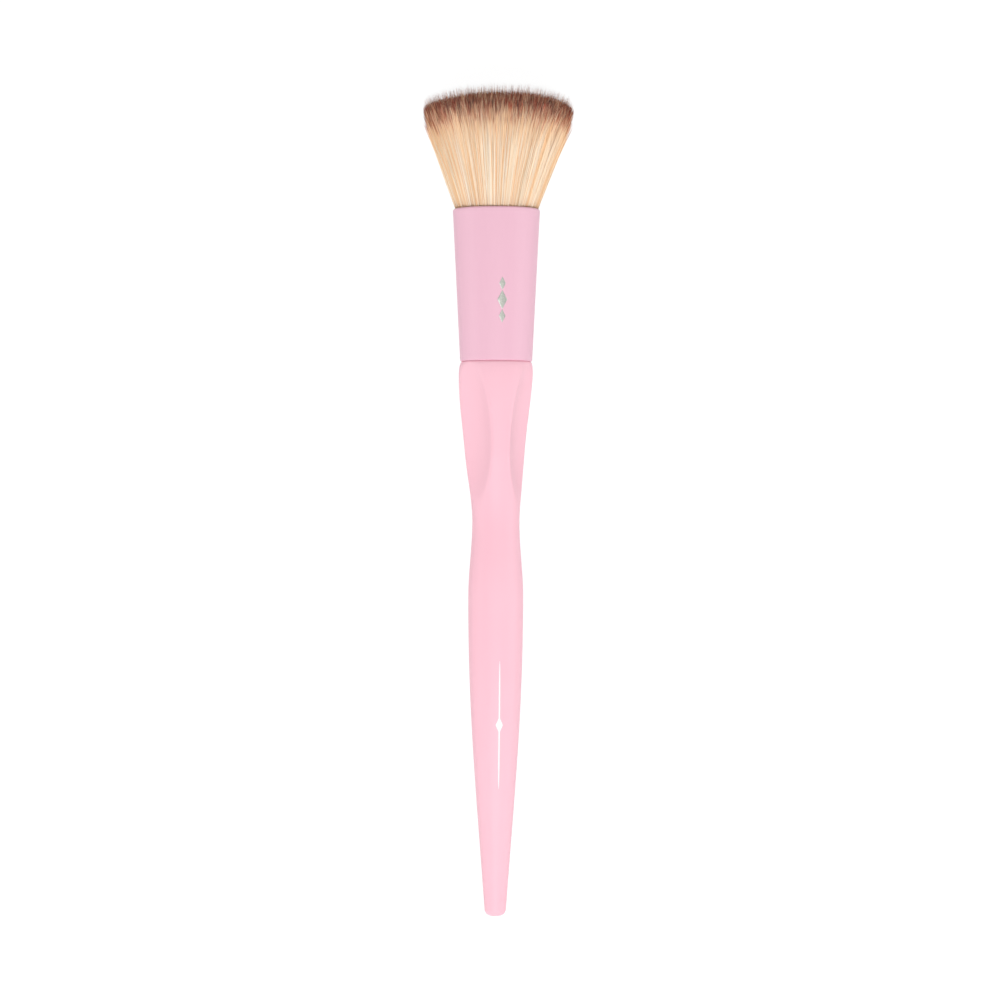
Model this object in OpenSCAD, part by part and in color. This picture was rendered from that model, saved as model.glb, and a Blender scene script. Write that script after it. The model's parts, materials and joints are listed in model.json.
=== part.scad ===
// Flat-top foundation brush, lying on a table as it is put down: bristles toward +Y, tail toward -Y.
// Each piece is drawn standing on its tail, with heights up the axis and its front toward -Y,
// and laid() puts it down on z = 0. Lengths are in millimetres.

/* [Handle] */
// Height of the seat that the ferrule stands on
seat_at = 113.6; // [110:0.2:125]
// Diameter of the seat, inside the rounded shoulder
seat_d = 14.1; // [13.2:0.1:14.6]
// Diameter of the shoulder, the widest place of the handle
shoulder_d = 15.3; // [14.8:0.1:17]
// Height of the rounding between the shoulder and the seat
shoulder_round = 3.1; // [1.5:0.1:5]
// Height of the middle of the grip
grip_at = 95; // [91:0.5:100]
// Diameter of the round form at the middle of the grip
grip_d = 12.9; // [12:0.1:14]
// Height of the waist
waist_at = 80.5; // [76:0.5:84]
// Diameter of the waist
waist_d = 9.65; // [9:0.05:10.6]
// Height of the swell under the waist
swell_at = 65.4; // [58:0.2:70]
// Diameter of the swell
swell_d = 11.25; // [10.8:0.05:12.5]
// Height at which the long taper meets the swell
taper_at = 40; // [32:0.5:50]
// Diameter at that height
taper_d = 9.9; // [9:0.1:10.4]
// Diameter of the tail above its rounded end
tail_d = 4.4; // [3.8:0.1:5.4]
// Radius of the tail's rounded edge
tail_round = 1.4; // [0.8:0.1:1.7]

/* [Grip scoops] */
// Turn of the first scoop about the axis, from the front toward +X
scoop_turn = 69; // [60:1:80]
// Height at which the scoops are deepest
scoop_at = 94.7; // [93:0.1:97]
// Distance of a scoop's floor from the axis
scoop_floor = 4.05; // [3.85:0.05:4.7]
// Radius of a scoop along the brush
scoop_long_r = 43; // [38:0.5:50]
// Radius of a scoop across the brush
scoop_cross_r = 12.5; // [9:0.5:18]

/* [Ferrule] */
// Length of the ferrule
ferrule_len = 31.2; // [26:0.2:38]
// Outer diameter at its foot
ferrule_foot_d = 14.75; // [14.5:0.05:15.6]
// Outer diameter at its mouth
ferrule_mouth_d = 17.85; // [17:0.05:19]
// Wall of the ferrule
ferrule_wall = 0.5; // [0.3:0.05:0.6]
// Rounding of the lip at the mouth
lip_round = 0.45; // [0.2:0.05:0.8]
// Rounding of the edge at the foot
foot_round = 0.3; // [0.15:0.05:0.6]

/* [Tuft] */
// Height of the crown above the mouth of the ferrule
hair_len = 24.5; // [20:0.1:31]
// Width of the tuft across its rim
tuft_d = 30.7; // [26:0.2:35]
// Height of the domed crown above the rim
crown_rise = 4.7; // [3:0.1:6.5]
// Rings of strands round the one in the middle
strand_rings = 11; // [10:1:12]
// Width of a strand where it leaves the root
strand_root_w = 0.5; // [0.35:0.01:0.54]
// Width of a strand where its tip begins
strand_w = 1.1; // [0.7:0.05:1.15]
// Most that a tip stays short of the crown
tip_scatter = 0.5; // [0:0.1:0.9]

/* [Root and glue] */
// Length of the tenon inside the ferrule
tenon_len = 12; // [8:0.2:14]
// Width of a glue groove in the tenon
groove_w = 1.6; // [1:0.1:2.2]
// Depth of a glue groove
groove_depth = 0.6; // [0.3:0.1:1]
// Height of the resin that pots the root of the hair
resin_len = 5; // [3:0.2:6]
// Depth of the packed root's face under the mouth
root_sunk = 2.6; // [1.6:0.1:4]
// Width of the thread that binds the root
thread_band = 3; // [1.5:0.1:4]
// Thickness of the thread
thread_t = 0.5; // [0.3:0.05:0.8]

/* [Hidden] */
$fn = 96;

// Steps of one stretch of the handle's outline, and of a rounded edge
curve_steps = 12;
round_steps = 6;
// Number of scoops round the grip, and of glue grooves
scoops = 3;
grooves = 2;
// Clearances: tenon in the ferrule, glue and thread against their seats, hair inside the mouth
tenon_fit = 0.1;
glue_fit = 0.05;
hair_fit = 0.1;
// Depth to which the hair is cut flat where it lies on the table
flat_depth = 0.5;
// How far the strands reach into the packed root
strand_embed = 1;
// Overrun of every cut
over = 1;
// Fullness of the crown's section: 2 and 2 would be an ellipse, and more is flatter on top
crown_width_power = 7;
crown_height_power = 1.6;
// Part of a strand's free length at which its tip begins
shoulder_share = 0.88;
// Least strand width, as a share of the full one
thin_share = 0.86;
scatter_seed = 7;

// Heights up the axis
mouth_at = seat_at + ferrule_len;
crown_at = mouth_at + hair_len;
rim_at = crown_at - crown_rise;
tenon_top = seat_at + tenon_len;
resin_top = tenon_top + resin_len;
root_top = mouth_at - root_sunk;
shoulder_at = seat_at - shoulder_round;

// The handle's outline as stations of height and radius, tail first
stations = [
    [tail_round, tail_d / 2],
    [taper_at, taper_d / 2],
    [swell_at, swell_d / 2],
    [waist_at, waist_d / 2],
    [grip_at, grip_d / 2],
    [shoulder_at, shoulder_d / 2],
];
last = len(stations) - 1;

function rise(i) = (stations[i + 1][1] - stations[i][1]) / (stations[i + 1][0] - stations[i][0]);

// Slope at a station: that of its neighbours, or none where the outline is widest or narrowest
function slope(i) =
    i == 0 ? rise(0)
    : i == last ? 0
    : rise(i - 1) * rise(i) <= 0 ? 0
    : (stations[i + 1][1] - stations[i - 1][1]) / (stations[i + 1][0] - stations[i - 1][0]);

// Cubic between stations i and i + 1 at share t, which has the slopes of both
function curve_r(i, t) =
    let (span = stations[i + 1][0] - stations[i][0])
    (1 + 2 * t) * pow(1 - t, 2) * stations[i][1]
    + t * pow(1 - t, 2) * span * slope(i)
    + t * t * (3 - 2 * t) * stations[i + 1][1]
    - t * t * (1 - t) * span * slope(i + 1);

function curve_h(i, t) = stations[i][0] + t * (stations[i + 1][0] - stations[i][0]);

// Quarter of an ellipse with its centre at [r, h] and half axes a and b, between two angles
function quarter(r, h, a, b, from, to) = [
    for (i = [0:round_steps])
        let (angle = from + (to - from) * i / round_steps)
        [r + a * cos(angle), h + b * sin(angle)]
];

tail_edge = quarter(tail_d / 2 - tail_round, tail_round, tail_round, tail_round, -90, 0);
shoulder_edge = quarter(seat_d / 2, shoulder_at, (shoulder_d - seat_d) / 2, shoulder_round, 0, 90);
skin = concat(
    tail_edge,
    [
        for (i = [0:last - 1])
            for (s = [1:curve_steps])
                [curve_r(i, s / curve_steps), curve_h(i, s / curve_steps)]
    ],
    [for (i = [1:round_steps]) shoulder_edge[i]]
);

// Ferrule: outer radius at a height, and the bore inside it
function ferrule_r(h) =
    (ferrule_foot_d + (ferrule_mouth_d - ferrule_foot_d) * (h - seat_at) / ferrule_len) / 2;
function bore_r(h) = ferrule_r(h) - ferrule_wall;
tenon_r = bore_r(seat_at) - tenon_fit;

// Height of a glue groove's middle
function groove_at(i) = seat_at + tenon_len * (i + 1) / (grooves + 1);

// Tuft: the strands fan out from one point on the axis, so that none can cross
tuft_r = tuft_d / 2;
strand_foot = root_top - strand_embed;
rim_shoulder = root_top + shoulder_share * (rim_at - root_top);
mouth_share = (mouth_at - strand_foot) / (rim_shoulder - strand_foot);
mouth_w = strand_root_w + (strand_w - strand_root_w) * mouth_share;
fan_mouth_r = bore_r(mouth_at) - hair_fit - mouth_w / 2;
fan_at = mouth_at - fan_mouth_r * (rim_at - mouth_at) / (tuft_r - fan_mouth_r);
root_r = bore_r(root_top) - hair_fit;

// Height of the crown at a share of the tuft's half width
function crown_h(share) =
    rim_at + crown_rise * pow(1 - pow(share, crown_width_power), 1 / crown_height_power);

// One entry for each strand: its ring and its place in that ring
places = [for (k = [0:strand_rings]) for (i = [0:max(0, 6 * k - 1)]) [k, i]];
short_shares = rands(0, 1, len(places), scatter_seed);
width_shares = rands(thin_share, 1, len(places), scatter_seed + 1);
golden = 137.508;

// Tip of strand n: the rim's tips reach the full width, the others stay a little short of the crown
function tip_angle(n) =
    let (k = places[n][0])
    k == 0 ? 0 : 360 * places[n][1] / (6 * k) + (strand_rings - k) * golden;
function tip_r(n) = tuft_r * places[n][0] / strand_rings;
function tip_h(n) =
    let (share = places[n][0] / strand_rings)
    crown_h(share) - (share < 1 ? tip_scatter * short_shares[n] : 0);

// Four corners of strand n at height h with width w
function section(n, h, w) =
    let (r = tip_r(n) * (h - fan_at) / (tip_h(n) - fan_at), a = tip_angle(n))
    [
        for (q = [0:3])
            let (b = n * golden + 90 * q)
            [r * cos(a) + w / 2 * cos(b), r * sin(a) + w / 2 * sin(b), h]
    ];

function strand(n) =
    let (
        top = tip_h(n),
        w = strand_w * width_shares[n],
        shoulder = root_top + shoulder_share * (top - root_top)
    )
    concat(
        section(n, strand_foot, strand_root_w),
        section(n, shoulder, w),
        [[tip_r(n) * cos(tip_angle(n)), tip_r(n) * sin(tip_angle(n)), top]]
    );

strand_faces = concat(
    [[0, 1, 2], [0, 2, 3]],
    [for (q = [0:3]) [q, q + 4, (q + 1) % 4 + 4]],
    [for (q = [0:3]) [q, (q + 1) % 4 + 4, (q + 1) % 4]],
    [for (q = [0:3]) [q + 4, 8, (q + 1) % 4 + 4]]
);
strand_corners = 9;

// Lean of the axis: the table touches the cut hair at the rim and the handle's nearest place
cut_r = tuft_r - flat_depth;
lean_rises = [for (p = skin) (cut_r - p[0]) / (rim_at - p[1])];
lean = atan(min(lean_rises));
lift = cut_r * cos(lean) - rim_at * sin(lean);

// The origin lies under the middle of the brush's length
tail_reach = -(tail_d / 2 - tail_round) * sin(lean) - tail_round * (1 - cos(lean));
tuft_reach = max([
    for (n = [0:len(places) - 1])
        tip_h(n) * cos(lean) + tip_r(n) * sin(tip_angle(n)) * sin(lean)
]);

module laid() {
    translate([0, -(tail_reach + tuft_reach) / 2, lift])
        rotate([lean - 90, 0, 0])
            children();
}

module scoop() {
    reach = scoop_floor + scoop_long_r;
    translate([0, -reach, scoop_at])
        rotate([0, 90, 0])
            rotate_extrude()
                translate([scoop_long_r - scoop_cross_r, 0])
                    circle(r = scoop_cross_r);
}

module handle() {
    color("pink")
        laid()
            difference() {
                union() {
                    rotate_extrude()
                        polygon(concat([[0, 0]], skin, [[0, seat_at]]));
                    translate([0, 0, seat_at - over])
                        cylinder(r = tenon_r, h = tenon_len + over);
                }
                for (i = [0:scoops - 1])
                    rotate([0, 0, scoop_turn + 360 * i / scoops])
                        scoop();
                for (i = [0:grooves - 1])
                    translate([0, 0, groove_at(i) - groove_w / 2])
                        difference() {
                            cylinder(r = tenon_r + over, h = groove_w);
                            translate([0, 0, -over])
                                cylinder(r = tenon_r - groove_depth, h = groove_w + 2 * over);
                        }
            }
}

// The lip and the foot are rounded over on the outside, and the wall follows the taper
module ferrule() {
    foot = quarter(ferrule_r(seat_at) - foot_round, seat_at + foot_round, foot_round, foot_round, -90, 0);
    lip_r = ferrule_r(mouth_at - lip_round);
    lip = quarter(lip_r - lip_round, mouth_at - lip_round, lip_round, lip_round, 0, 90);
    color("thistle")
        laid()
            difference() {
                rotate_extrude()
                    polygon(concat([[0, seat_at]], foot, lip, [[0, mouth_at]]));
                rotate_extrude()
                    polygon([
                        [0, seat_at - over],
                        [bore_r(seat_at - over), seat_at - over],
                        [bore_r(mouth_at + over), mouth_at + over],
                        [0, mouth_at + over],
                    ]);
            }
}

// Beads of glue that fill the grooves and reach across to the ferrule
module glue_rings() {
    half = groove_w / 2 - glue_fit;
    inner = tenon_r - groove_depth + glue_fit;
    color("wheat")
        laid()
            for (i = [0:grooves - 1])
                rotate_extrude()
                    polygon([
                        [inner, groove_at(i) - half],
                        [bore_r(groove_at(i) - half) - glue_fit, groove_at(i) - half],
                        [bore_r(groove_at(i) + half) - glue_fit, groove_at(i) + half],
                        [inner, groove_at(i) + half],
                    ]);
}

module resin_plug() {
    color("goldenrod")
        laid()
            translate([0, 0, tenon_top])
                cylinder(
                    r1 = bore_r(tenon_top) - glue_fit,
                    r2 = bore_r(resin_top) - glue_fit,
                    h = resin_len
                );
}

// The thread lies in the neck that it draws into the packed root, halfway up
thread_r = bore_r(resin_top) - hair_fit;
thread_at = (resin_top + root_top - thread_band) / 2;

module binding_thread() {
    color("ivory")
        laid()
            translate([0, 0, thread_at])
                difference() {
                    cylinder(r = thread_r, h = thread_band);
                    translate([0, 0, -over])
                        cylinder(r = thread_r - thread_t, h = thread_band + 2 * over);
                }
}

module packed_root() {
    neck_r = thread_r - thread_t - glue_fit;
    difference() {
        translate([0, 0, resin_top])
            cylinder(r1 = bore_r(resin_top) - hair_fit, r2 = root_r, h = root_top - resin_top);
        translate([0, 0, thread_at - glue_fit])
            difference() {
                cylinder(r = root_r + over, h = thread_band + 2 * glue_fit);
                translate([0, 0, -over])
                    cylinder(r = neck_r, h = thread_band + 2 * over);
            }
    }
}

module bristle_tuft() {
    color("bisque")
        difference() {
            laid()
                union() {
                    packed_root();
                    polyhedron(
                        points = [for (n = [0:len(places) - 1]) each strand(n)],
                        faces = [
                            for (n = [0:len(places) - 1])
                                for (f = strand_faces)
                                    [for (v = f) v + n * strand_corners]
                        ]
                    );
                }
            translate([-tuft_d, 0, -tuft_d])
                cube([2 * tuft_d, crown_at, tuft_d]);
        }
}

handle();
ferrule();
glue_rings();
resin_plug();
binding_thread();
bristle_tuft();
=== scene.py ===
import json
import math
import bpy
import numpy as np
from mathutils import Matrix, Vector


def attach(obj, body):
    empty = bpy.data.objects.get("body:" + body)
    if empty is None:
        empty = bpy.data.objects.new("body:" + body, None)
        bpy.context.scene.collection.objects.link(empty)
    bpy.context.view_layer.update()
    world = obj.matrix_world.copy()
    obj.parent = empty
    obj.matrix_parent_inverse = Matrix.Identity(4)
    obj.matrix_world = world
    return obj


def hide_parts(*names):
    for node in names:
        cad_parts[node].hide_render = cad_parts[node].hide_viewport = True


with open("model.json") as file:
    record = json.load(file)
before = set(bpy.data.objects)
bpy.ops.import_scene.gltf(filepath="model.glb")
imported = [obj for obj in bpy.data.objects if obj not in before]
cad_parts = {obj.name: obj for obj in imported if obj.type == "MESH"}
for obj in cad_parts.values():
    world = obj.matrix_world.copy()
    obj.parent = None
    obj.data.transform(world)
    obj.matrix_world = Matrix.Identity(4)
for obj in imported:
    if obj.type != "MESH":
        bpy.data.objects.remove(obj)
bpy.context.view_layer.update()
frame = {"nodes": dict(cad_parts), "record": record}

print("frame:", len(frame["nodes"]), "solids")

# The brush's own frame. Heights run up its axis from the tail, and turns go round it from the front,
# which faces the camera, towards +X. Sizes in the dictionaries are millimetres unless a note says so.
mm = 0.001
fullTurn = 2 * math.pi
mounts = {m["name"]: m for m in frame["record"]["mounts"]}
tailPoint = np.array(mounts["tail_rest"]["pos_m"])
alongBrush = -np.array(mounts["tail_rest"]["axis"])
alongBrush = alongBrush / np.linalg.norm(alongBrush)
acrossBrush = np.array([1.0, 0.0, 0.0])
frontOfBrush = np.cross(acrossBrush, alongBrush)


def fromBrush(x, y, height):
    # millimetres across, towards the front and up the axis, to metres in the frame: the tail's point
    # and the three sizes along the brush's own directions, added up
    x, y, height = np.broadcast_arrays(x, y, height)
    offset = x[..., None] * acrossBrush + y[..., None] * frontOfBrush + height[..., None] * alongBrush
    return tailPoint + mm * offset


def roundBrush(turn, radius, height):
    # a point at a turn round the axis: across is the radius times the turn's sine, and towards
    # the front the radius times its cosine
    return fromBrush(radius * np.sin(turn), radius * np.cos(turn), height)


# Meshes from arrays
hairMapName = "OFBake"


def newPiece(name, points, faceSets, material, cornerMap=None, smooth=True):
    # faceSets are arrays of corner numbers, one row a face; cornerMap, where given, has a point on
    # the UV map for each corner
    corners = np.concatenate([f.ravel() for f in faceSets]).astype(np.int32)
    sizes = np.concatenate([np.full(len(f), f.shape[1]) for f in faceSets])
    mesh = bpy.data.meshes.new(name)
    mesh.vertices.add(len(points))
    mesh.vertices.foreach_set("co", np.asarray(points, np.float32).ravel())
    mesh.loops.add(len(corners))
    mesh.loops.foreach_set("vertex_index", corners)
    mesh.polygons.add(len(sizes))
    mesh.polygons.foreach_set("loop_start", (np.cumsum(sizes) - sizes).astype(np.int32))
    if cornerMap is not None:
        layer = mesh.uv_layers.new(name=hairMapName)
        layer.uv.foreach_set("vector", np.asarray(cornerMap, np.float32).ravel())
    mesh.update(calc_edges=True)
    mesh.validate()
    if smooth:
        mesh.shade_smooth()
    else:
        mesh.shade_flat()
    mesh.materials.append(material)
    piece = bpy.data.objects.new(name, mesh)
    bpy.context.scene.collection.objects.link(piece)
    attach(piece, "root")
    return piece


def ringFaces(rows, columns, loop=False):
    # quads between each row of points and the next, closed round the ring, and end to end where
    # loop is set
    i = np.arange(rows if loop else rows - 1)[:, None] * columns
    j = np.arange(columns)[None, :]
    after = (j + 1) % columns
    above = (i + columns) % (rows * columns)
    return np.stack([i + j, above + j, above + after, i + after], -1).reshape(-1, 4)


def closedSkin(name, rings, poles, material, cornerMap=None):
    # rings of points one above the other, joined by quads and closed at each end by a fan to a pole
    rows, columns = rings.shape[:2]
    count = rows * columns
    j = np.arange(columns)
    after = (j + 1) % columns
    bottom = np.stack([np.full(columns, count), j, after], -1)
    top = np.stack([np.full(columns, count + 1), count - columns + after, count - columns + j], -1)
    points = np.vstack([rings.reshape(-1, 3), poles])
    faces = [ringFaces(rows, columns), bottom, top]
    return newPiece(name, points, faces, material, cornerMap)


def evenTurns(columns):
    # the turns of the columns, as one row
    return np.linspace(0, fullTurn, columns, endpoint=False)[None, :]


def endPoles(outline):
    # the points of the axis at the first and last height of an outline
    return fromBrush(np.zeros(2), np.zeros(2), outline[[0, -1], 1])


def turnedSkin(name, outline, columns, material, shape):
    # an outline of radius and height turned round the axis; shape takes turn, height and radius,
    # and gives the radius back, drawn in
    turn = evenTurns(columns)
    radius = np.repeat(outline[:, :1], columns, 1)
    height = np.repeat(outline[:, 1:], columns, 1)
    rings = roundBrush(turn, shape(turn, height, radius), height)
    return closedSkin(name, rings, endPoles(outline), material)


def turnedLoop(name, outline, columns, material):
    # a closed outline turned round the axis, as for a tube with a wall
    points = roundBrush(evenTurns(columns), outline[:, :1], outline[:, 1:]).reshape(-1, 3)
    return newPiece(name, points, [ringFaces(len(outline), columns, True)], material)


def arc(radius, height, across, up, start, end, steps):
    # part of an ellipse about a point of the outline, as rows of radius and height: the point plus
    # across times the cosine and up times the sine of an angle, which runs from start to end in degrees
    angle = np.radians(np.linspace(start, end, steps))
    return np.stack([radius + across * np.cos(angle), height + up * np.sin(angle)], -1)


# Materials
def tint(red, green, blue):
    # a colour as a screen shows it, 0 to 255, to the linear values that a shader takes: a straight
    # line near black, and a power above it
    share = np.array([red, green, blue]) / 255
    linear = np.where(share <= 0.04045, share / 12.92, ((share + 0.055) / 1.055) ** 2.4)
    return (*linear.tolist(), 1.0)


class Wire:
    # the output of a node, which takes part in sums as a number does
    def __init__(self, finish, socket):
        self.finish = finish
        self.socket = socket

    def maths(self, operation, *values):
        return self.finish.add("ShaderNodeMath", {"operation": operation}, dict(enumerate(values)))

    def __add__(self, other):
        return self.maths("ADD", self, other)

    def __radd__(self, other):
        return self.maths("ADD", other, self)

    def __sub__(self, other):
        return self.maths("SUBTRACT", self, other)

    def __rsub__(self, other):
        return self.maths("SUBTRACT", other, self)

    def __mul__(self, other):
        return self.maths("MULTIPLY", self, other)

    def __rmul__(self, other):
        return self.maths("MULTIPLY", other, self)

    def __truediv__(self, other):
        return self.maths("DIVIDE", self, other)

    def floor(self):
        return self.maths("FLOOR", self)

    def larger(self, other):
        return self.maths("MAXIMUM", self, other)

    def ramp(self, low, high):
        # 0 at low and under, 1 at high and over, smooth between; either end may vary
        return self.finish.add("ShaderNodeMapRange", {"interpolation_type": "SMOOTHSTEP"},
                               {"Value": self, "From Min": low, "From Max": high})


mixColours = {"share": 0, "low": 6, "high": 7, "result": 2}    # sockets of a Mix node set to colours


class Finish:
    # a Principled material whose nodes come from add
    def __init__(self, name, **fixed):
        self.material = bpy.data.materials.new(name)
        self.material.use_nodes = True
        self.tree = self.material.node_tree
        self.shader = next(n for n in self.tree.nodes if n.type == "BSDF_PRINCIPLED")
        for socket, value in fixed.items():
            self.shader.inputs[socket.replace("_", " ")].default_value = value

    def add(self, kind, settings=None, sockets=None, output=0):
        node = self.tree.nodes.new(kind)
        for name, value in (settings or {}).items():
            setattr(node, name, value)
        for name, value in (sockets or {}).items():
            if isinstance(value, Wire):
                self.tree.links.new(value.socket, node.inputs[name])
            else:
                node.inputs[name].default_value = value
        return Wire(self, node.outputs[output])

    def feed(self, socket, wire):
        self.tree.links.new(wire.socket, self.shader.inputs[socket])

    def blend(self, share, low, high):
        values = {mixColours["share"]: share, mixColours["low"]: low, mixColours["high"]: high}
        return self.add("ShaderNodeMix", {"data_type": "RGBA"}, values, mixColours["result"])

    def place(self):
        return self.add("ShaderNodeTexCoord", output="Object")

    def noise(self, where, scale, detail, roughness=0.5):
        values = {"Vector": where, "Scale": scale, "Detail": detail, "Roughness": roughness}
        return self.add("ShaderNodeTexNoise", sockets=values)

    def bump(self, height, strength, distance):
        values = {"Height": height, "Strength": strength, "Distance": distance}
        self.feed("Normal", self.add("ShaderNodeBump", sockets=values))


# In the looks, scales are cells of noise in a metre, a bump is its strength and its depth in metres,
# and roughness is its least value and what noise adds.
softTouch = {
    "tones": [(0.985, 0.556, 0.648, 1), (0.985, 0.574, 0.664, 1)],
    "cloudScale": 60,
    "roughness": [0.46, 0.08],
    "glossScale": 350,
    "toothScale": 5200,
    "toothBump": [0.12, 0.00002],
}


def softTouchPlastic():
    # pale pink rubbery lacquer: a slight clouding of colour, soft gloss that varies, and a fine tooth
    look = Finish("soft_touch_pink", IOR=1.45, Specular_IOR_Level=0.35)
    where = look.place()
    cloud = look.noise(where, softTouch["cloudScale"], detail=3).ramp(0.3, 0.7)
    tooth = look.noise(where, softTouch["toothScale"], detail=2, roughness=0.6)
    least, adds = softTouch["roughness"]
    look.feed("Base Color", look.blend(cloud, *softTouch["tones"]))
    look.feed("Roughness", least + adds * look.noise(where, softTouch["glossScale"], detail=3))
    look.bump(tooth, *softTouch["toothBump"])
    return look.material


satin = {
    "tones": [tint(242, 192, 210), tint(243, 193, 211)],
    "streakScale": (1500.0, 40.0, 1500.0),    # far coarser along the tube than across it
    "roughness": [0.46, 0.10],
    "glossScale": 500,
    "peelScale": 1300,
    "peelShare": 0.7,
    "streakShare": 0.12,
    "bump": [0.10, 0.00003],
}


def satinLacquer():
    # lilac-pink lacquer over drawn aluminium: faint orange peel, and streaks along the tube
    look = Finish("ferrule_lacquer", IOR=1.5, Specular_IOR_Level=0.35,
                  Coat_Weight=0.05, Coat_Roughness=0.35)
    where = look.place()
    stretched = {"Vector": where, "Scale": satin["streakScale"]}
    drawn = look.add("ShaderNodeMapping", sockets=stretched)
    streak = look.noise(drawn, 1.0, detail=2).ramp(0.25, 0.75)
    peel = look.noise(where, satin["peelScale"], detail=2)
    least, adds = satin["roughness"]
    look.feed("Base Color", look.blend(streak, *satin["tones"]))
    look.feed("Roughness", least + adds * look.noise(where, satin["glossScale"], detail=3))
    look.bump(peel * satin["peelShare"] + streak * satin["streakShare"], *satin["bump"])
    return look.material


stamped = {
    "tones": [tint(196, 200, 190), tint(214, 216, 208)],
    "grainScale": 4200,
    "roughness": [0.34, 0.12],
    "bump": [0.15, 0.00002],
}


def silverFoil():
    # hot-stamped foil: matt silver with a fine grain
    look = Finish("silver_foil", Metallic=0.85)
    grain = look.noise(look.place(), stamped["grainScale"], detail=3)
    least, adds = stamped["roughness"]
    look.feed("Base Color", look.blend(grain.ramp(0.3, 0.7), *stamped["tones"]))
    look.feed("Roughness", least + adds * grain)
    look.bump(grain, *stamped["bump"])
    return look.material


printed = {
    "tones": [tint(253, 250, 251), tint(252, 236, 241)],
    "thinScale": 2600,
    "roughness": [0.42, 0.1],
    "glossScale": 1500,
}


def whiteInk():
    # pad-printed ink, a little thin in places
    look = Finish("white_print", Specular_IOR_Level=0.4)
    where = look.place()
    thin = look.noise(where, printed["thinScale"], detail=3).ramp(0.62, 0.8)
    least, adds = printed["roughness"]
    look.feed("Base Color", look.blend(thin, *printed["tones"]))
    look.feed("Roughness", least + adds * look.noise(where, printed["glossScale"], detail=2))
    return look.material


hair = {
    "kinds": 12,            # tones of a wisp's dyed end, and as many of a hair's pale length
    "mapLength": 30.0,      # distance from the tip that the map's height stands for
    "edge": 0.15,           # margin of a tone's column on the map
    "cream": [tint(255, 245, 230), tint(252, 231, 202)],
    "gold": tint(246, 206, 162),
    "goldFrom": [0.78, 0.8],            # chances over which a hair turns gold
    "grainAcross": 3.7,                 # cells of the grain in a column, and in a millimetre
    "grainAlong": 0.35,
    "grainGold": tint(244, 202, 154),
    "grainFrom": [0.45, 0.8],
    "grainShare": 0.4,
    "underDye": tint(247, 208, 164),    # tone just under the dye
    "underDyeEnds": [2.5, 7],
    "underDyeShare": 0.6,
    "packed": tint(220, 182, 150),      # painted shade: a darker tone towards the ferrule, for the shade among the closely packed hair there
    "packedFrom": [15, 20.5],
    "packedShare": 0.6,
    "dark": [tint(58, 12, 6), tint(184, 86, 58)],
    "darkFrom": [0.15, 0.85],
    "tan": [tint(226, 162, 130), tint(200, 130, 98)],
    "tanFrom": 0.6,
    "dyeReach": [0.3, 2.0, 0.3],        # least reach of the dye, and what a wisp and a hair add
    "dyeEnds": [0.3, 1.4],              # how far before and after its reach it fades out
    "thinDye": 0.35,                    # share of the dye that the palest wisps take
    "thinFrom": [0.15, 0.35],           # chances over which that grows to all of it
    "roughness": [0.38, 0.16],
    # start of each use of the white noise, so that no two share their values
    "starts": {"cream": 0.5, "gold": 7.5, "dark": 19.5, "tan": 23.5, "reach": 31.5, "ownReach": 35.5,
               "thin": 43.5},
}
hair["columns"] = hair["kinds"] ** 2


def hairFibre():
    # Across the map lie the tones, one column each, and up the map goes the distance from the tip.
    # Colour runs from the dark dyed tip through tan and gold to the pale cream length, with painted
    # shade towards the ferrule.
    look = Finish("hair_fibre", IOR=1.5, Specular_IOR_Level=0.3)
    spot = look.add("ShaderNodeUVMap", {"uv_map": hairMapName})
    column = look.add("ShaderNodeSeparateXYZ", None, {"Vector": spot}, "X") * hair["columns"]
    fromTip = look.add("ShaderNodeSeparateXYZ", None, {"Vector": spot}, "Y") * hair["mapLength"]
    wispKind = (column / hair["kinds"]).floor()
    hairKind = column.floor() - hair["kinds"] * wispKind

    def chance(kind, use):
        # a number from 0 to 1 for each kind, and another for each use of it
        spot = {"W": kind + hair["starts"][use]}
        return look.add("ShaderNodeTexWhiteNoise", {"noise_dimensions": "1D"}, spot)

    grainSpot = {"X": column * hair["grainAcross"], "Y": fromTip * hair["grainAlong"], "Z": 0.0}
    grain = look.noise(look.add("ShaderNodeCombineXYZ", sockets=grainSpot), 1.0, detail=2)
    cream = look.blend(chance(hairKind, "cream"), *hair["cream"])
    cream = look.blend(chance(hairKind, "gold").ramp(*hair["goldFrom"]), cream, hair["gold"])
    cream = look.blend(grain.ramp(*hair["grainFrom"]) * hair["grainShare"], cream, hair["grainGold"])
    underDye = (1 - fromTip.ramp(*hair["underDyeEnds"])) * hair["underDyeShare"]
    cream = look.blend(underDye, cream, hair["underDye"])
    # painted shade: the pale length darkens towards the ferrule, where the hair shades itself
    packed = fromTip.ramp(*hair["packedFrom"]) * hair["packedShare"]
    cream = look.blend(packed, cream, hair["packed"])

    # the dye reaches far down in few wisps, by the square of their chance, and pales from dark to
    # tan as it goes
    shortest, wispAdds, hairAdds = hair["dyeReach"]
    dye = chance(wispKind, "reach")
    reach = shortest + wispAdds * dye * dye + hairAdds * chance(hairKind, "ownReach")
    dark = look.blend(chance(wispKind, "dark").ramp(*hair["darkFrom"]), *hair["dark"])
    tan = look.blend(chance(hairKind, "tan"), *hair["tan"])
    brown = look.blend(fromTip.ramp(hair["tanFrom"], reach + hair["tanFrom"]), dark, tan)
    before, after = hair["dyeEnds"]
    dyed = 1 - fromTip.ramp(reach - before, reach + after)
    thin = hair["thinDye"]
    dyed = dyed * (thin + (1 - thin) * chance(wispKind, "thin").ramp(*hair["thinFrom"]))
    least, adds = hair["roughness"]
    look.feed("Base Color", look.blend(dyed, cream, brown))
    look.feed("Roughness", least + adds * grain)
    return look.material


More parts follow.
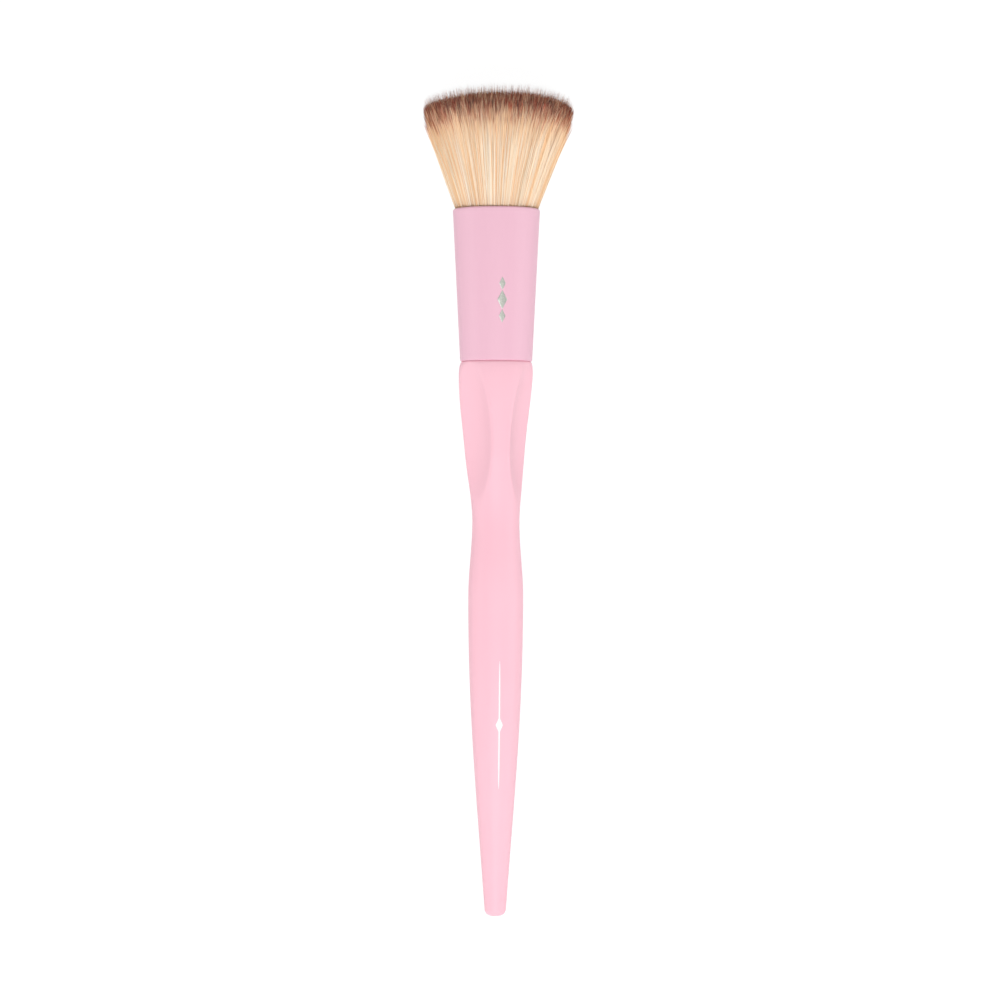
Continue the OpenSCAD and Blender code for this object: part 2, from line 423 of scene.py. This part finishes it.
def hiddenSolid(name, low, high, scale, roughness):
    # glue, resin and thread inside the ferrule: two tones in a cloudy mix, with the scale of its
    # clouds and its least roughness
    look = Finish(name)
    cloud = look.noise(look.place(), scale, detail=3)
    look.feed("Base Color", look.blend(cloud, low, high))
    look.feed("Roughness", roughness + 0.15 * cloud)
    look.bump(cloud, strength=0.2, distance=0.00005)
    return look.material


plastic = softTouchPlastic()
lacquer = satinLacquer()
foil = silverFoil()
ink = whiteInk()
fibre = hairFibre()
hiddenLooks = {
    "glue_rings": hiddenSolid("cured_glue", tint(226, 208, 168), tint(206, 180, 128), 700, 0.15),
    "resin_plug": hiddenSolid("potting_resin", tint(206, 160, 96), tint(178, 128, 66), 400, 0.12),
    "binding_thread": hiddenSolid("waxed_thread", tint(240, 234, 218), tint(222, 212, 190), 2500, 0.5),
}
print("materials done")

# Handle
handle = {
    "stations": [(1.4, 2.2), (40.0, 4.95), (65.4, 5.625), (80.5, 4.825), (95.0, 6.45), (110.5, 7.65)],
    "tailFlat": 0.8,
    "tailRound": 1.4,
    "seatHeight": 113.6,
    "seatRadius": 7.05,
    "seatGap": 0.25,       # how far under the seat the shoulder ends, for the slit under the ferrule
    "slitHeight": 0.14,
    "tenonRadius": 6.775,
    "tenonLength": 12.0,
    "grooves": 2,
    "grooveDepth": 0.6,
    "grooveWidth": 1.6,
    "scoopTurn": 69.0,     # degrees
    "scoops": 3,
    "scoopHeight": 94.7,
    "scoopFloor": 4.05,
    "scoopLong": 43.0,     # of the circle along the brush, towards the tail and towards the shoulder
    "scoopLongUp": 54.0,
    "scoopCross": 12.5,
    "scoopReach": 0.9,     # of the long circles' radii, as far as the floor follows them
    "scoopFacing": 0.2,    # least cosine of the turn between a ray and the scoop's middle
    "clear": 50.0,         # radius given where a ray meets no scoop
    "softness": 0.3,       # how widely a scoop's edge is rounded over
    "columns": 168,
    "rows": 440,
    "tailSteps": 12,
    "shoulderSteps": 16,
}


def handleRadius(height):
    # Between each two stations runs the cubic that meets both radii and both slopes. A station's
    # slope is that between its neighbours, none at a crest, a waist or the last station, and at
    # the tail that of the first stretch.
    h, r = np.array(handle["stations"]).T
    rise = np.diff(r) / np.diff(h)
    slope = np.zeros(len(h))
    slope[0] = rise[0]
    middle = (r[2:] - r[:-2]) / (h[2:] - h[:-2])
    slope[1:-1] = np.where(rise[:-1] * rise[1:] > 0, middle, 0)
    i = np.clip(np.searchsorted(h, height) - 1, 0, len(h) - 2)
    span = h[i + 1] - h[i]
    t = (height - h[i]) / span
    return ((1 + 2 * t) * (1 - t) ** 2 * r[i] + t * (1 - t) ** 2 * span * slope[i]
            + t * t * (3 - 2 * t) * r[i + 1] - t * t * (1 - t) * span * slope[i + 1])


def scoopRadius(turn, height, middleTurn):
    # Where a ray from the axis meets a scoop. Across the brush a scoop is a circle, whose centre
    # lies further out as the floor rises along the brush on a larger circle. The radius is the
    # centre's distance times the cosine of the turn away from it, less the root of the circle's
    # radius squared minus the square of that distance times the sine.
    off = turn - middleTurn
    long = np.where(height > handle["scoopHeight"], handle["scoopLongUp"], handle["scoopLong"])
    cross, reach = handle["scoopCross"], handle["scoopReach"] * long
    along = np.clip(height - handle["scoopHeight"], -reach, reach)
    middle = handle["scoopFloor"] + long - np.sqrt(long ** 2 - along ** 2) + cross
    inside = cross ** 2 - (middle * np.sin(off)) ** 2
    meets = (inside > 0) & (np.cos(off) > handle["scoopFacing"])
    nearSide = middle * np.cos(off) - np.sqrt(np.maximum(inside, 0))
    return np.where(meets, nearSide, handle["clear"])


def scoopedRadius(turn, height, radius):
    # smooth minimum of the round form and the scoops, so that the ridges between them are rounded:
    # minus the softness times the log of the sum of e to the power of minus each radius over it
    soft = handle["softness"]
    total = np.exp(-radius / soft)
    for k in range(handle["scoops"]):
        middle = math.radians(handle["scoopTurn"]) + k * fullTurn / handle["scoops"]
        total = total + np.exp(-scoopRadius(turn, height, middle) / soft)
    scooped = -soft * np.log(total)
    return np.where(height < handle["seatHeight"], scooped, radius)


def handleOutline():
    # from the tail's flat round its edge, up the body and over the shoulder, in through the slit
    # and up the tenon with its grooves
    tailR, tailH = handle["tailRound"], handle["stations"][0][0]
    tail = arc(handle["tailFlat"], tailH, tailR, tailR, -90, 0, handle["tailSteps"])
    shoulderH, shoulderR = handle["stations"][-1]
    seatH, seatR = handle["seatHeight"], handle["seatRadius"]
    ledge = seatH - handle["seatGap"]
    heights = np.linspace(tailH, shoulderH, handle["rows"])[1:-1]
    body = np.stack([handleRadius(heights), heights], -1)
    shoulder = arc(seatR, shoulderH, shoulderR - seatR, ledge - shoulderH, 0, 90,
                   handle["shoulderSteps"])
    tenonR, top = handle["tenonRadius"], seatH + handle["tenonLength"]
    deep, half = tenonR - handle["grooveDepth"], handle["grooveWidth"] / 2
    slitTop = ledge + handle["slitHeight"]
    tenon = [(seatR, slitTop), (tenonR, slitTop)]
    for k in range(1, handle["grooves"] + 1):
        middle = seatH + handle["tenonLength"] * k / (handle["grooves"] + 1)
        tenon += [(tenonR, middle - half), (deep, middle - half),
                  (deep, middle + half), (tenonR, middle + half)]
    tenon += [(tenonR, top), (tenonR / 2, top)]
    return np.vstack([[(handle["tailFlat"] / 2, 0.0)], tail, body, shoulder, tenon])


handleSkin = turnedSkin("handle_skin", handleOutline(), handle["columns"],
                        plastic, scoopedRadius)
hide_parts("handle")
print("handle done")

# Ferrule
ferrule = {
    "foot": 113.5,
    "length": 31.1,
    "footRadius": 7.375,
    "mouthRadius": 8.925,
    "wall": 0.5,
    "lipRound": 0.36,      # of the lip's rounding across the wall, and along the tube
    "lipUp": 0.5,
    "footRound": 0.2,
    "columns": 192,
    "rows": 60,
    "footSteps": 9,
    "lipSteps": 16,
    "boreRows": 12,
}


def ferruleRadius(height):
    # a straight taper from the foot's radius to the mouth's
    share = (height - ferrule["foot"]) / ferrule["length"]
    return ferrule["footRadius"] + share * (ferrule["mouthRadius"] - ferrule["footRadius"])


def ferruleOutline():
    # up the outside from the rounded foot to the rounded lip, and down the bore
    foot, mouth = ferrule["foot"], ferrule["foot"] + ferrule["length"]
    edge, lip, wall = ferrule["footRound"], ferrule["lipRound"], ferrule["wall"]
    lipFoot = mouth - ferrule["lipUp"]
    low = arc(ferruleRadius(foot) - edge, foot + edge, edge, edge, -90, 0, ferrule["footSteps"])
    heights = np.linspace(foot + edge, lipFoot, ferrule["rows"])[1:-1]
    side = np.stack([ferruleRadius(heights), heights], -1)
    high = arc(ferruleRadius(lipFoot) - lip, lipFoot, lip, ferrule["lipUp"], 0, 90,
               ferrule["lipSteps"])
    heights = np.linspace(mouth, foot, ferrule["boreRows"])
    bore = np.stack([ferruleRadius(heights) - wall, heights], -1)
    return np.vstack([low, side, high, bore])


ferruleSkin = turnedLoop("ferrule_skin", ferruleOutline(), ferrule["columns"],
                         lacquer)
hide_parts("ferrule")
print("ferrule done")

# Ornament: three foil lozenges on the ferrule, and a white rule with a lozenge at its middle
# on the handle
ornament = {
    "turn": 9.0,                  # degrees
    "lozengeHeights": [122.4, 125.7, 129.0],
    "lozengeHalfHeights": [1.3, 1.9, 1.3],
    "lozengeHalfWidths": [0.75, 1.15, 0.75],
    "lozengePoint": 0.04,         # half width at its ends
    "lozengeRows": 25,
    "ruleHeight": 39.3,
    "ruleHalfHeight": 13.0,
    "ruleHalfWidth": 0.17,
    "ruleThinnest": 0.05,         # share of the width, squared, that is left at its ends
    "ruleLozengeHalfHeight": 1.7,
    "ruleLozengeHalfWidth": 0.85,
    "ruleMiddle": 2.0,            # half height of the part with closer rows
    "ruleRows": 60,
    "ruleMiddleRows": 41,
    "proud": 0.015,
    "edgeDip": 0.01,
    "sunk": 0.05,
    # how far the poles lie past the ends: a length, and a share of the end's place along the strip,
    # which is below zero at one end
    "pastEnd": [0.01, 0.005],
    "across": 9,
}


def inlay(name, middleHeight, offsets, halfWidths, carrier, material, slot):
    # a thin strip on a turned surface: its front stands slightly proud in the middle and dips in
    # at its edges by the eighth power of the place across, and its back lies in the surface;
    # halfWidths gives its outline along the brush
    u = np.linspace(-1, 1, ornament["across"])
    front = ornament["proud"] - (ornament["proud"] + ornament["edgeDip"]) * np.abs(u) ** 8
    loopU = np.concatenate([u, u[::-1]])
    depth = np.concatenate([front, np.full(len(u), -ornament["sunk"])])
    heights = middleHeight + offsets
    radius = carrier(heights)
    turn = math.radians(ornament["turn"]) + halfWidths[:, None] * loopU / radius[:, None]
    rings = roundBrush(turn, radius[:, None] + depth, heights[:, None])
    past, pastShare = ornament["pastEnd"]
    ends = offsets[[0, -1]]
    poleHeights = middleHeight + ends + np.sign(ends) * np.abs(past + pastShare * ends)
    poleTurn = np.full(2, math.radians(ornament["turn"]))
    poles = roundBrush(poleTurn, carrier(poleHeights) - ornament["sunk"] / 2, poleHeights)
    return closedSkin(name, rings, poles, material)


def lozengeStrip(halfHeight, halfWidth):
    # places along the brush, and a half width that falls in a straight line to each point
    offsets = np.linspace(-halfHeight, halfHeight, ornament["lozengeRows"])
    point = ornament["lozengePoint"]
    return offsets, point + (halfWidth - point) * (1 - np.abs(offsets) / halfHeight)


def ruleStrip():
    # the rule thins out towards its ends, by the root of one minus the fourth power of the place
    # along it, and opens to a lozenge in its middle
    half, middle, rows = ornament["ruleHalfHeight"], ornament["ruleMiddle"], ornament["ruleRows"]
    offsets = np.concatenate([np.linspace(-half, -middle, rows)[:-1],
                              np.linspace(-middle, middle, ornament["ruleMiddleRows"]),
                              np.linspace(middle, half, rows)[1:]])
    thinning = np.sqrt(np.maximum(1 - (offsets / half) ** 4, ornament["ruleThinnest"]))
    fall = np.maximum(1 - np.abs(offsets) / ornament["ruleLozengeHalfHeight"], 0)
    line = ornament["ruleHalfWidth"] * thinning
    return offsets, np.maximum(line, fall * ornament["ruleLozengeHalfWidth"])


lozenges = zip(ornament["lozengeHeights"], ornament["lozengeHalfHeights"], ornament["lozengeHalfWidths"])
for k, (height, halfHeight, halfWidth) in enumerate(lozenges):
    inlay(f"foil_lozenge_{k + 1}", height, *lozengeStrip(halfHeight, halfWidth),
          ferruleRadius, foil, "ferrule_coating")
inlay("printed_rule", ornament["ruleHeight"], *ruleStrip(), handleRadius, ink, "handle_plastic")
print("ornament done")

# Tuft
tuft = {
    "mouth": 144.8,
    "rootDepth": 2.2,      # how far under the mouth the modelled hair begins
    "fanAt": 124.1,        # height at which the lines of the hairs would meet
    "rim": 165.2,
    "rimRadius": 15.6,
    "rise": 3.5,
    "widthPower": 2.5,
    "heightPower": 1.43,
    "hollow": 0.35,
    "lean": 0.4,           # how far the tuft leans to the right at the rim
    "slant": 0.015,        # rise of the crown towards the right; close to the rim it falls a little
    "short": 1.05,         # mean depth of the tips under the crown's outline, in the middle
    "rimShort": 0.9,       # and at the rim
    "shortMost": 4,        # deepest tips, against the mean
    "longHairs": 0.08,     # share of hairs that stand over the outline, and how far they do
    "longBy": 1.7,
    "longFine": 0.55,      # thickness of such a hair, against that of the others
    "shellFrom": 0.84,     # the outer shell, which the sides show, is packed more closely
    "shellHairs": 20000,
    "innerHairs": 20000,
    "perPiece": 7200,      # most hairs in a piece
    "thickness": 0.15,
    "thicknessVaries": [0.75, 1.2],
    "stations": [0.0, 0.35, 0.66, 0.85, 0.95, 1.0],    # of a hair's rings and its point, up its length
    "widths": [0.9, 1.0, 1.0, 0.72, 0.28],             # of the rings, as shares of the thickness
    "facingVaries": 0.3,   # radians that a hair's flat side is turned from straight up or down
    # shares of the rim's radius, down to strayShake
    "rootShake": 0.004,    # unevenness of the places in the bundle
    "lockSize": 0.075,     # width of a lock, and of a wisp in it
    "wispSize": 0.022,
    "lockShake": 0.006,    # unevenness of where one lock or wisp ends and the next begins
    "wispShake": 0.003,
    "tipShake": 0.006,     # unevenness of a tip's place, and of that of a stray hair's
    "strayShake": 0.03,
    "strays": 0.03,        # share of hairs that leave their wisp
    "grid": 128,           # cells each way in which locks and wisps are counted
    "cellShake": 0.45,     # of a cell's width, how far its middle may lie aside
    "lockPull": 0.06,      # how far tips are drawn to the middle of their lock and wisp
    "wispPull": 0.35,
    "pullVaries": [0.4, 1.2],
    "wispStep": 0.15,
    "sway": 0.07,          # how far a half wave bends a hair, and the full wave's share of that
    "secondSway": 0.6,
    "lockSway": 0.1,       # of a whole lock, against that of a hair
    "loners": 0.08,        # share of hairs whose dyed end has a tone of its own, not the wisp's
    "singles": 0.9,        # share of hairs whose pale length has one
    "overTable": 0.00003,  # least height over the table, in metres
    "seed": 11,
}


def crownHeight(share):
    # height of the tips by their share of the radius: the rim, and a rise that is one minus a power
    # of the share, to a power of its own
    bulge = np.maximum(1 - share ** tuft["widthPower"], 0) ** (1 / tuft["heightPower"])
    return tuft["rim"] + tuft["rise"] * bulge


def upTuft(height):
    # 0 at the mouth of the ferrule and 1 at the rim
    return (height - tuft["mouth"]) / (tuft["rim"] - tuft["mouth"])


def fanRadius(height, tipHeight=tuft["rim"]):
    # radius of the outermost hair: a line from the fan's point to the rim, hollowed by half a sine
    # wave between mouth and rim
    line = tuft["rimRadius"] * (height - tuft["fanAt"]) / (tipHeight - tuft["fanAt"])
    return line - tuft["hollow"] * np.sin(math.pi * np.clip(upTuft(height), 0, 1))


def spiral(count, first, last):
    # even spread over a ring between two shares of the radius: equal areas and the golden angle
    k = np.arange(count) + 0.5
    share = np.sqrt(first ** 2 + (last ** 2 - first ** 2) * k / count)
    turn = k * math.radians(137.508)
    return np.stack([share * np.sin(turn), share * np.cos(turn)], -1)


def clusters(spread, size, rng):
    # number and middle of the cluster that each hair belongs to, on a grid with shaken middles
    grid, shaken = tuft["grid"], tuft["cellShake"]
    cell = np.floor(spread / size).astype(int) + grid // 2
    shake = rng.uniform(-shaken, shaken, (grid, grid, 2))
    middle = (cell - grid // 2 + 0.5 + shake[cell[:, 0], cell[:, 1]]) * size
    return cell[:, 0] * grid + cell[:, 1], middle


def hairPlaces(rng):
    # where each hair stands in the bundle and where its tip goes, as shares of the radius: the tip
    # is drawn to the middles of its lock and its wisp, shaken a little, and kept inside the rim
    spread = np.concatenate([spiral(tuft["shellHairs"], tuft["shellFrom"], 1),
                             spiral(tuft["innerHairs"], 0, tuft["shellFrom"])])
    n = len(spread)
    spread += rng.normal(0, tuft["rootShake"], (n, 2))
    spread /= np.maximum(np.linalg.norm(spread, axis=1), 1)[:, None]
    shaken = spread + rng.normal(0, tuft["lockShake"], (n, 2))
    lock, lockMiddle = clusters(shaken, tuft["lockSize"], rng)
    shaken = spread + rng.normal(0, tuft["wispShake"], (n, 2))
    wisp, wispMiddle = clusters(shaken, tuft["wispSize"], rng)
    pull = (lockMiddle - spread) * tuft["lockPull"] + (wispMiddle - spread) * tuft["wispPull"]
    pull *= rng.uniform(*tuft["pullVaries"], n)[:, None]
    stray = rng.random(n) < tuft["strays"]
    pull += rng.normal(0, 1, (n, 2)) * np.where(stray, tuft["strayShake"], tuft["tipShake"])[:, None]
    tip = spread + pull
    share = np.linalg.norm(tip, axis=1)
    tip /= np.maximum(share, 1)[:, None]
    return spread, tip, np.minimum(share, 1), lock, wisp


def tipHeights(tip, share, wisp, rng):
    # Height of each tip: the crown's outline with its slant, a step that a whole wisp shares, and
    # either what a long hair adds or a depth under the outline that falls off exponentially. The
    # mean depth goes over to the rim's by the fourth power of the share, and the slant is
    # multiplied by one minus twice its sixth power.
    n, cells = len(tip), tuft["grid"] ** 2
    short = tuft["short"] + (tuft["rimShort"] - tuft["short"]) * share ** 4
    step = rng.normal(0, tuft["wispStep"], cells)[wisp]
    slant = tuft["slant"] * tip[:, 0] * tuft["rimRadius"] * (1 - 2 * share ** 6)
    long = rng.random(n) < tuft["longHairs"]
    over = np.where(long, tuft["longBy"] * np.sqrt(rng.random(n)), 0)
    under = short * np.minimum(rng.exponential(1, n), tuft["shortMost"])
    return crownHeight(share) + slant + step + np.where(over > 0, over, -under), over > 0


def hairPoints(spread, tip, height, tipHeight, lock, long, rng):
    # A hair is a three-sided needle: rings along its line, then its point, with one flat side
    # turned up or down. The line runs straight up the fan and goes over to the tip's place by the
    # fourth power of the way up. A half wave and a full one sway it, by an amount that its lock
    # shares and one of its own.
    n, cells = len(spread), tuft["grid"] ** 2
    up = np.array(tuft["stations"])
    waves = [np.sin(math.pi * up), tuft["secondSway"] * np.sin(2 * math.pi * up)]
    bend = np.stack(waves, -1) * tuft["sway"]
    way = rng.normal(0, tuft["lockSway"], (cells, 2, 2))[lock] + rng.normal(0, 1, (n, 2, 2))
    centre = spread[:, None] + (tip - spread)[:, None] * (up ** 4)[:, None]
    centre = centre * fanRadius(height, tipHeight[:, None])[..., None]
    centre += np.einsum("ijk,lj->ilk", way, bend)
    centre[..., 0] += tuft["lean"] * np.clip(upTuft(height), 0, None)
    thick = tuft["thickness"] / 2 * rng.uniform(*tuft["thicknessVaries"], n)
    thick = (thick * np.where(long, tuft["longFine"], 1))[:, None] * tuft["widths"]
    varies = tuft["facingVaries"]
    facing = np.where(spread[:, 1] > 0, 0.5, -0.5) * math.pi + rng.uniform(-varies, varies, n)
    corner = (facing + math.pi)[:, None] + np.arange(3) * fullTurn / 3
    ring = np.stack([np.cos(corner), np.sin(corner)], -1)
    rings = centre[:, :-1, None] + ring[:, None] * thick[..., None, None]
    flat = np.concatenate([rings.reshape(n, -1, 2), centre[:, -1:]], 1)
    tall = np.concatenate([np.repeat(height[:, :-1], 3, 1), height[:, -1:]], 1)
    points = fromBrush(flat[..., 0], flat[..., 1], tall)
    points[..., 2] = np.maximum(points[..., 2], tuft["overTable"])
    return points


def hairTones(wisp, rng):
    # most hairs of a wisp share the tone of their dyed end, and few that of their length
    n, cells, kinds = len(wisp), tuft["grid"] ** 2, hair["kinds"]
    wispTone = rng.integers(0, kinds, cells)[wisp]
    hairTone = rng.integers(0, kinds, cells)[wisp]
    loner, single = rng.random(n) < tuft["loners"], rng.random(n) < tuft["singles"]
    wispTone = np.where(loner, rng.integers(0, kinds, n), wispTone)
    hairTone = np.where(single, rng.integers(0, kinds, n), hairTone)
    return wispTone * kinds + hairTone


def needleFaces():
    # corners of one needle's quads and of the triangles round its point, with their places across
    # a tone's column: a third of it for each side
    rings, sides = len(tuft["widths"]), range(3)
    quads = np.array([(3 * k + s, 3 * k + (s + 1) % 3, 3 * k + 3 + (s + 1) % 3, 3 * k + 3 + s)
                      for s in sides for k in range(rings - 1)])
    foot = 3 * (rings - 1)
    ends = np.array([(foot + s, foot + (s + 1) % 3, foot + 3) for s in sides])
    width = (1 - 2 * hair["edge"]) / 3
    endLeft = hair["edge"] + width * np.arange(3)
    left = np.repeat(endLeft, rings - 1)
    quadAcross = np.stack([left, left + width, left + width, left], -1)
    endAcross = np.stack([endLeft, endLeft + width, endLeft + width / 2], -1)
    return (quads, quadAcross), (ends, endAcross)


def hairMeshes():
    # all the hairs at once, then cut into pieces by chance, so that each is spread over the tuft
    rng = np.random.default_rng(tuft["seed"])
    spread, tip, share, lock, wisp = hairPlaces(rng)
    tipHeight, long = tipHeights(tip, share, wisp, rng)
    rootHeight = tuft["mouth"] - tuft["rootDepth"]
    length, up = (tipHeight - rootHeight)[:, None], np.array(tuft["stations"])
    height = rootHeight + length * up
    points = hairPoints(spread, tip, height, tipHeight, lock, long, rng)
    tone = hairTones(wisp, rng)
    fromTip = length * (1 - up) / hair["mapLength"]

    perHair = points.shape[1]
    stationOf = np.arange(perHair) // 3
    needle = needleFaces()
    order = rng.permutation(len(spread))
    parts = np.array_split(order, math.ceil(len(order) / tuft["perPiece"]))
    for k, part in enumerate(parts):
        base = (np.arange(len(part)) * perHair)[:, None, None]
        column = tone[part][:, None, None]
        faces, cornerMap = [], []
        for corners, across in needle:
            faces.append((corners + base).reshape(-1, corners.shape[1]))
            down = fromTip[part][:, stationOf[corners]]
            spots = np.stack([(column + across) / hair["columns"], down], -1)
            cornerMap.append(spots.reshape(-1, 2))
        piece = newPiece(f"hair_{k + 1}", points[part].reshape(-1, 3), faces, fibre,
                         np.concatenate(cornerMap), smooth=False)
        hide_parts("bristle_tuft")


# Packed root inside the ferrule, and the close-packed middle of the tuft under its loose outer hair
root = {
    "foot": 130.65,
    "radius": 7.6,
    "footRound": 0.25,
    "footSteps": 4,
    "threadLow": 134.85,
    "threadHigh": 137.95,
    "threadEdge": 0.05,
    "neckRadius": 7.05,
    "overThread": 0.2,       # what the radius gains above the thread
    "face": 142.2,
    "faceRadius": 8.15,
    "faceDrop": 0.3,         # height and depth of the bevel at the face's edge
    "faceIn": 0.2,
    "sideFrom": 0.4,         # height over the face at which the fan begins
    "sideRows": 30,
    "coreShare": 0.983,      # radius of the close-packed middle as a share of the tuft's
    "coreDepth": 3.4,        # how far under the tips it ends
    "coreTop": 161.0,
    "domeShares": [0.84, 0.03],
    "domeRows": 28,
    "domeUnderRim": 1.0,
    "mapEnd": 0.98,          # of the map's height, the furthest that a face goes
    "columns": 768,
}


def rootOutline():
    # the rounded foot, the neck under the thread, the bundle's face and the fan up to the core's
    # top, closed by a dome that follows the crown
    low, high, neck = root["threadLow"], root["threadHigh"], root["neckRadius"]
    edge, rounded = root["threadEdge"], root["footRound"]
    foot = arc(root["radius"] - rounded, root["foot"] + rounded, rounded, rounded, -90, 0,
               root["footSteps"])
    bound = [(root["radius"], low), (neck, low + edge), (neck, high - edge),
             (root["radius"] + root["overThread"], high)]
    face = [(root["faceRadius"], root["face"] - root["faceDrop"]),
            (root["faceRadius"] - root["faceIn"], root["face"])]
    heights = np.linspace(root["face"] + root["sideFrom"], root["coreTop"], root["sideRows"])
    side = np.stack([fanRadius(heights) * root["coreShare"], heights], -1)
    shares = np.linspace(*root["domeShares"], root["domeRows"])
    domeRadius = shares * fanRadius(tuft["rim"] - root["domeUnderRim"])
    dome = np.stack([domeRadius, crownHeight(shares) - root["coreDepth"]], -1)
    return np.vstack([foot, bound, face, side, dome])


def packedRoot():
    # the outline turned round the axis, each column of faces with one tone, as a bundle of hairs has
    outline = rootOutline()
    columns, rows = root["columns"], len(outline)
    rings = roundBrush(evenTurns(columns), outline[:, :1], outline[:, 1:])
    share = np.minimum(outline[:, 0] / fanRadius(np.maximum(outline[:, 1], tuft["mouth"])), 1)
    fromTip = (crownHeight(share) - outline[:, 1]) / hair["mapLength"]
    fromTip = np.clip(fromTip, 0, root["mapEnd"])
    tone = np.random.default_rng(tuft["seed"]).integers(0, hair["columns"], columns)
    left = (tone + hair["edge"]) / hair["columns"]
    right = (tone + 1 - hair["edge"]) / hair["columns"]
    quadU = np.broadcast_to(np.stack([left, left, right, right], -1), (rows - 1, columns, 4))
    quadV = np.stack([fromTip[:-1], fromTip[1:], fromTip[1:], fromTip[:-1]], -1)[:, None]
    quadMap = np.stack([quadU, np.broadcast_to(quadV, quadU.shape)], -1)
    ends = []
    for row, sides in ((0, (left, right)), (-1, (right, left))):
        middle = np.stack([(left + right) / 2, *sides], -1)
        ends.append(np.stack([middle, np.full(middle.shape, fromTip[row])], -1).reshape(-1, 2))
    cornerMap = np.concatenate([quadMap.reshape(-1, 2), *ends])
    piece = closedSkin("hair_root", rings, endPoles(outline), fibre, cornerMap)
    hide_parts("bristle_tuft")


packedRoot()
hairMeshes()
print("hair done")

# Hidden pieces keep their solids
for name, look in hiddenLooks.items():
    node = frame["nodes"][name]
    node.data.materials.clear()
    node.data.materials.append(look)
print("hidden pieces done")

# Studio
studio = {
    "cameraHeight": 85.1,    # height up the brush that the middle of the picture shows
    "distance": 700.0,
    "pictureWidth": 204.8,   # width that the picture takes in at the brush
    "aside": 0.84,
    "roll": 0.1,             # degrees
    "sensor": 36.0,
    "clip": [0.01, 20.0],    # metres
    "floorReach": 3.0,       # metres
    "floorGlow": 0.93,       # of the floor as the camera sees it; the rest is lit, and takes the shadow
    "floorLit": 0.15,
    "floorBounce": 0.8,      # grey of the floor for light that bounces off it to the brush
    "worldLight": 0.36,
}

# each lamp's place, its width and height, in metres, and its watts
lamps = {
    "main": ((0.0, -0.5, 0.8), (0.5, 0.5), 5.8),
    "low_left": ((-0.9, 0.0, 0.16), (0.25, 0.8), 2.5),
    "low_right": ((0.9, 0.0, 0.16), (0.25, 0.8), 2.9),
    "beyond_head": ((0.0, 0.9, 0.2), (0.8, 0.15), 1.5),
}


def grey(level):
    return (level, level, level, 1)


def makeCamera():
    # straight in front of the brush, whose tail is at the foot of the picture, with a slight roll
    data = bpy.data.cameras.new("camera")
    data.sensor_width = studio["sensor"]
    data.lens = data.sensor_width * studio["distance"] / studio["pictureWidth"]
    data.clip_start, data.clip_end = studio["clip"]
    camera = bpy.data.objects.new("camera", data)
    bpy.context.scene.collection.objects.link(camera)
    roll = math.radians(studio["roll"])
    up = math.cos(roll) * alongBrush - math.sin(roll) * acrossBrush
    right = np.cross(up, frontOfBrush)
    spot = fromBrush(studio["aside"], studio["distance"], studio["cameraHeight"])
    rows = np.column_stack([right, up, frontOfBrush, spot]).tolist()
    camera.matrix_world = Matrix(rows + [[0, 0, 0, 1]])
    bpy.context.scene.camera = camera


def makeFloor():
    # white to the camera and in reflections, and a plain grey to the light that bounces off it
    mesh = bpy.data.meshes.new("floor")
    reach = studio["floorReach"]
    corners = [(-reach, -reach, 0), (reach, -reach, 0), (reach, reach, 0), (-reach, reach, 0)]
    mesh.from_pydata(corners, [], [(0, 1, 2, 3)])
    look = Finish("floor_white", Roughness=0.9, Specular_IOR_Level=0.0,
                  Emission_Strength=studio["floorGlow"])
    camera, glossy, through = [look.add("ShaderNodeLightPath", output=ray)
                               for ray in ("Is Camera Ray", "Is Glossy Ray", "Is Transmission Ray")]
    seen = camera.larger(glossy).larger(through)
    look.feed("Base Color", look.blend(seen, grey(studio["floorBounce"]), grey(studio["floorLit"])))
    look.feed("Emission Color", look.blend(seen, grey(0), grey(1)))
    mesh.materials.append(look.material)
    floor = bpy.data.objects.new("floor", mesh)
    bpy.context.scene.collection.objects.link(floor)


def makeLamp(name, place, size, watts):
    # an area lamp that faces the middle of the frame, unseen by the camera
    data = bpy.data.lights.new(name, "AREA")
    data.shape = "RECTANGLE"
    data.size, data.size_y = size
    data.energy = watts
    lamp = bpy.data.objects.new(name, data)
    bpy.context.scene.collection.objects.link(lamp)
    lamp.location = place
    lamp.rotation_mode = "QUATERNION"
    lamp.rotation_quaternion = Vector(place).to_track_quat("Z", "Y")
    lamp.visible_camera = False


def makeWorld():
    # white to the camera, and a plain grey light to the rest
    world = bpy.data.worlds.new("studio_white")
    bpy.context.scene.world = world
    world.use_nodes = True
    tree = world.node_tree
    back = next(n for n in tree.nodes if n.type == "BACKGROUND")
    paths = tree.nodes.new("ShaderNodeLightPath")
    seen = tree.nodes.new("ShaderNodeMix")
    seen.data_type = "RGBA"
    seen.inputs[mixColours["low"]].default_value = grey(studio["worldLight"])
    seen.inputs[mixColours["high"]].default_value = grey(1)
    tree.links.new(paths.outputs["Is Camera Ray"], seen.inputs[mixColours["share"]])
    tree.links.new(seen.outputs[mixColours["result"]], back.inputs["Color"])


makeCamera()
makeFloor()
makeWorld()
for name, values in lamps.items():
    makeLamp(name, *values)
bpy.context.scene.view_settings.view_transform = "Standard"
print("studio done")
